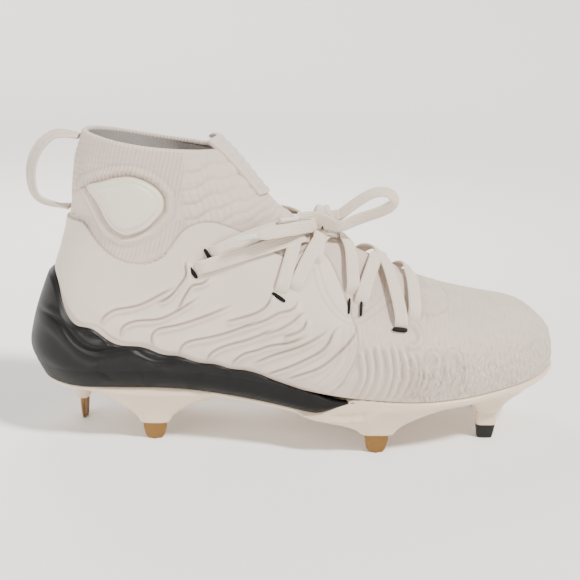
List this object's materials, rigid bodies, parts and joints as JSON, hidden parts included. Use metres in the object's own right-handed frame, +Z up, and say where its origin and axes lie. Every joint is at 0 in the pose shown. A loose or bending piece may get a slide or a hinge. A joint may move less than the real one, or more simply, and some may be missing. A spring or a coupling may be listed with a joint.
{
  "type": "baseball cleat",
  "caption": "Mid-top baseball cleat with a knitted upper, moulded black midsole, cream plate with blades, flat laces tied in a bow and a heel pull loop.",
  "frame": {"origin": "middle of the base of the shoe's box, on the floor under the blades", "axes": "+X to the toe, +Y to the medial side, +Z up"},
  "size_m": [0.3016, 0.101, 0.1678],
  "materials": {
    "knit": "ribbed and puffed off-white knit",
    "film": "thin satin film over knit",
    "foam": "matte black moulded foam",
    "plate_plastic": "satin cream plastic",
    "bronze": "bronze toned metal",
    "stud_black": "black moulded stud",
    "pad_rubber": "soft ivory rubber",
    "webbing": "woven tape",
    "lace_cloth": "flat woven lace",
    "lining": "grey lining cloth"
  },
  "bodies": {
    "root": {"upper": "knit", "quarter_overlay": "film", "midsole": "foam", "outsole_plate": "plate_plastic", "blade_heel_lateral": "bronze", "blade_heel_medial": "bronze", "blade_rear": "bronze", "blade_ball_lateral": "bronze", "blade_ball_medial": "bronze", "stud_toe_lateral": "stud_black", "stud_toe_medial": "stud_black", "insole": "lining", "ankle_pad_lateral": "pad_rubber", "ankle_pad_medial": "pad_rubber", "pull_loop": "webbing", "tongue_tab": "webbing", "lace_bars": "lace_cloth", "lace_knot": "lace_cloth", "lace_bow": "lace_cloth", "lace_end": "lace_cloth"}
  },
  "joints": []
}
